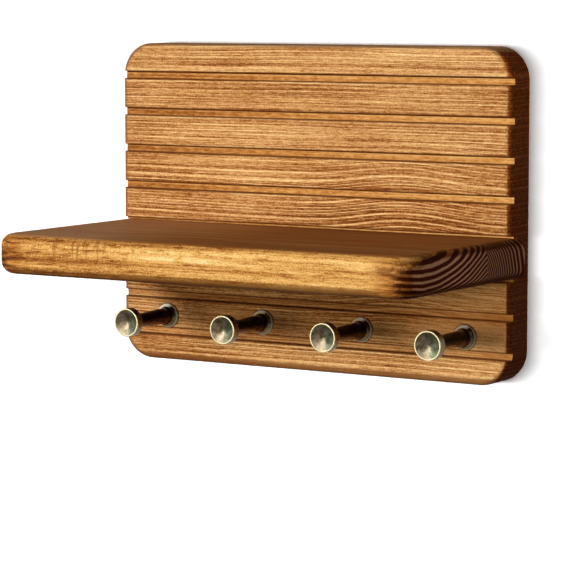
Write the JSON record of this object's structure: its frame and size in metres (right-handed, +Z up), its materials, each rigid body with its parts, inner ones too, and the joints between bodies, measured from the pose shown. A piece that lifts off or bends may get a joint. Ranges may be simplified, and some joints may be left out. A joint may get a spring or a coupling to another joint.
{
  "type": "wall key holder",
  "caption": "Grooved wooden wall key holder: a back board with a rounded shelf housed in it and a row of turned metal knobs below for keys.",
  "frame": {"origin": "middle of the back board's back face, which lies on the wall", "axes": "+X to the right along the board and the shelf, +Y into the wall, +Z up; the front faces -Y"},
  "size_m": [0.244, 0.1307, 0.1704],
  "materials": {
    "board_wood": "stained and brushed softwood, satin",
    "shelf_wood": "stained softwood, satin",
    "antique_brass": "antique brass plating, rubbed bright at the rims",
    "zinc_steel": "bright zinc plating"
  },
  "bodies": {
    "root": {"back_board": "board_wood", "shelf": "shelf_wood", "knob_1": "antique_brass", "knob_2": "antique_brass", "knob_3": "antique_brass", "knob_4": "antique_brass", "knob_screw_1": "zinc_steel", "knob_screw_2": "zinc_steel", "knob_screw_3": "zinc_steel", "knob_screw_4": "zinc_steel", "knob_washer_1": "zinc_steel", "knob_washer_2": "zinc_steel", "knob_washer_3": "zinc_steel", "knob_washer_4": "zinc_steel", "shelf_screw_1": "zinc_steel", "shelf_screw_2": "zinc_steel", "shelf_screw_3": "zinc_steel", "hanger_left": "zinc_steel", "hanger_right": "zinc_steel", "hanger_screw_left_lower": "zinc_steel", "hanger_screw_left_upper": "zinc_steel", "hanger_screw_right_lower": "zinc_steel", "hanger_screw_right_upper": "zinc_steel"}
  },
  "joints": []
}
